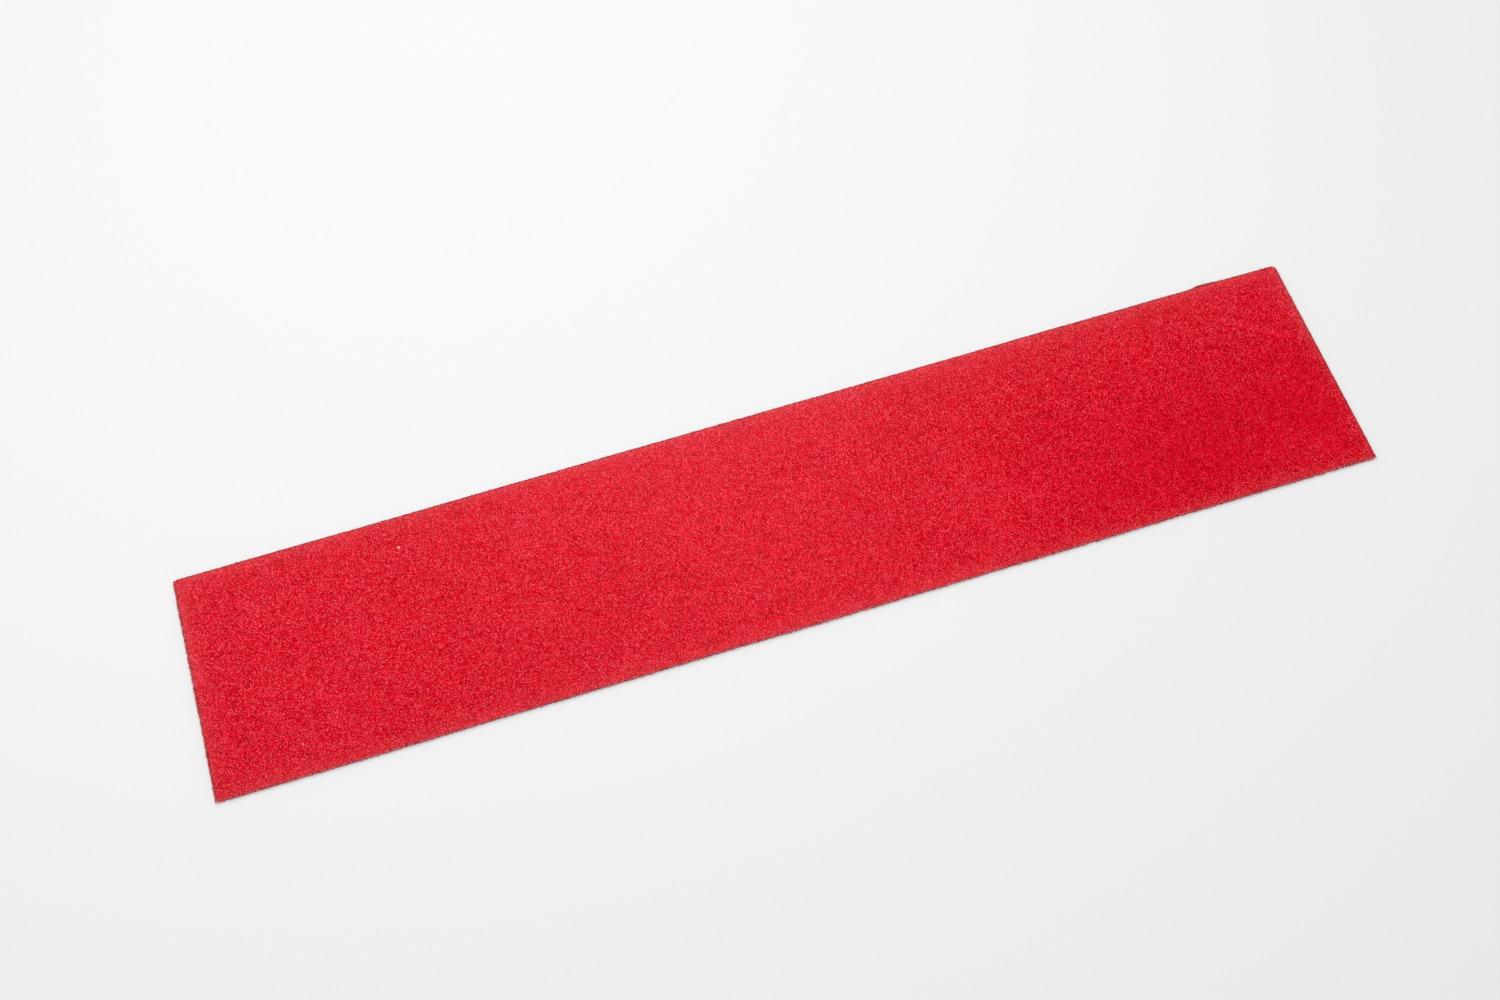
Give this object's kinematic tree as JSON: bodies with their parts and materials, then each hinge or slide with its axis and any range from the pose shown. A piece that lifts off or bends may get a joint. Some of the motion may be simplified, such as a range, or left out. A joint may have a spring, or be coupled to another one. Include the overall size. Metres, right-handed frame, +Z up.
{
  "type": "climbing skin strip",
  "caption": "Flat strip of red plush climbing skin lying on its release liner; the ends curl up off the liner and the whole strip lifts away.",
  "frame": {"origin": "middle of the release liner's underside, which lies on the table", "axes": "+X along the strip towards its tip end, +Y across it, +Z up out of the pile"},
  "size_m": [0.62, 0.13, 0.0027],
  "materials": {
    "pile": "matte",
    "ground_cloth": "matte",
    "membrane": "satin",
    "glue": "satin",
    "liner": "satin"
  },
  "bodies": {
    "liner": {"release_liner": "liner"},
    "middle": {"glue_middle": "glue", "membrane_middle": "membrane", "ground_cloth_middle": "ground_cloth", "pile_middle": "pile"},
    "tip_1": {"glue_tip_1": "glue", "membrane_tip_1": "membrane", "ground_cloth_tip_1": "ground_cloth", "pile_tip_1": "pile"},
    "tip_2": {"glue_tip_2": "glue", "membrane_tip_2": "membrane", "ground_cloth_tip_2": "ground_cloth", "pile_tip_2": "pile"},
    "tip_3": {"glue_tip_3": "glue", "membrane_tip_3": "membrane", "ground_cloth_tip_3": "ground_cloth", "pile_tip_3": "pile"},
    "tip_4": {"glue_tip_4": "glue", "membrane_tip_4": "membrane", "ground_cloth_tip_4": "ground_cloth", "pile_tip_4": "pile"},
    "tip_5": {"glue_tip_5": "glue", "membrane_tip_5": "membrane", "ground_cloth_tip_5": "ground_cloth", "pile_tip_5": "pile"},
    "tail_1": {"glue_tail_1": "glue", "membrane_tail_1": "membrane", "ground_cloth_tail_1": "ground_cloth", "pile_tail_1": "pile"},
    "tail_2": {"glue_tail_2": "glue", "membrane_tail_2": "membrane", "ground_cloth_tail_2": "ground_cloth", "pile_tail_2": "pile"},
    "tail_3": {"glue_tail_3": "glue", "membrane_tail_3": "membrane", "ground_cloth_tail_3": "ground_cloth", "pile_tail_3": "pile"},
    "tail_4": {"glue_tail_4": "glue", "membrane_tail_4": "membrane", "ground_cloth_tail_4": "ground_cloth", "pile_tail_4": "pile"},
    "tail_5": {"glue_tail_5": "glue", "membrane_tail_5": "membrane", "ground_cloth_tail_5": "ground_cloth", "pile_tail_5": "pile"}
  },
  "joints": [
    {"name": "lift_off_liner", "type": "slide", "parent": "liner", "child": "middle", "axis": [0, 0, 1], "range_m": [0, 0.12]},
    {"name": "tip_bend_1", "type": "hinge", "parent": "middle", "child": "tip_1", "pos_m": [0.02819, 0, 0.00275], "axis": [0, -1, 0], "range_deg": [0, 30]},
    {"name": "tip_bend_2", "type": "hinge", "parent": "tip_1", "child": "tip_2", "pos_m": [0.08457, 0, 0.00275], "axis": [0, -1, 0], "range_deg": [0, 30]},
    {"name": "tip_bend_3", "type": "hinge", "parent": "tip_2", "child": "tip_3", "pos_m": [0.14095, 0, 0.00275], "axis": [0, -1, 0], "range_deg": [0, 30]},
    {"name": "tip_bend_4", "type": "hinge", "parent": "tip_3", "child": "tip_4", "pos_m": [0.19734, 0, 0.00275], "axis": [0, -1, 0], "range_deg": [0, 30]},
    {"name": "tip_bend_5", "type": "hinge", "parent": "tip_4", "child": "tip_5", "pos_m": [0.25372, 0, 0.00275], "axis": [0, -1, 0], "range_deg": [0, 30]},
    {"name": "tail_bend_1", "type": "hinge", "parent": "middle", "child": "tail_1", "pos_m": [-0.02819, 0, 0.00275], "axis": [0, 1, 0], "range_deg": [0, 30]},
    {"name": "tail_bend_2", "type": "hinge", "parent": "tail_1", "child": "tail_2", "pos_m": [-0.08457, 0, 0.00275], "axis": [0, 1, 0], "range_deg": [0, 30]},
    {"name": "tail_bend_3", "type": "hinge", "parent": "tail_2", "child": "tail_3", "pos_m": [-0.14095, 0, 0.00275], "axis": [0, 1, 0], "range_deg": [0, 30]},
    {"name": "tail_bend_4", "type": "hinge", "parent": "tail_3", "child": "tail_4", "pos_m": [-0.19734, 0, 0.00275], "axis": [0, 1, 0], "range_deg": [0, 30]},
    {"name": "tail_bend_5", "type": "hinge", "parent": "tail_4", "child": "tail_5", "pos_m": [-0.25372, 0, 0.00275], "axis": [0, 1, 0], "range_deg": [0, 30]}
  ],
  "couplings": [
    {"joint": "tip_bend_2", "follows": "tip_bend_1", "ratio": 1},
    {"joint": "tip_bend_3", "follows": "tip_bend_1", "ratio": 1},
    {"joint": "tip_bend_4", "follows": "tip_bend_1", "ratio": 1},
    {"joint": "tip_bend_5", "follows": "tip_bend_1", "ratio": 1},
    {"joint": "tail_bend_2", "follows": "tail_bend_1", "ratio": 1},
    {"joint": "tail_bend_3", "follows": "tail_bend_1", "ratio": 1},
    {"joint": "tail_bend_4", "follows": "tail_bend_1", "ratio": 1},
    {"joint": "tail_bend_5", "follows": "tail_bend_1", "ratio": 1}
  ]
}
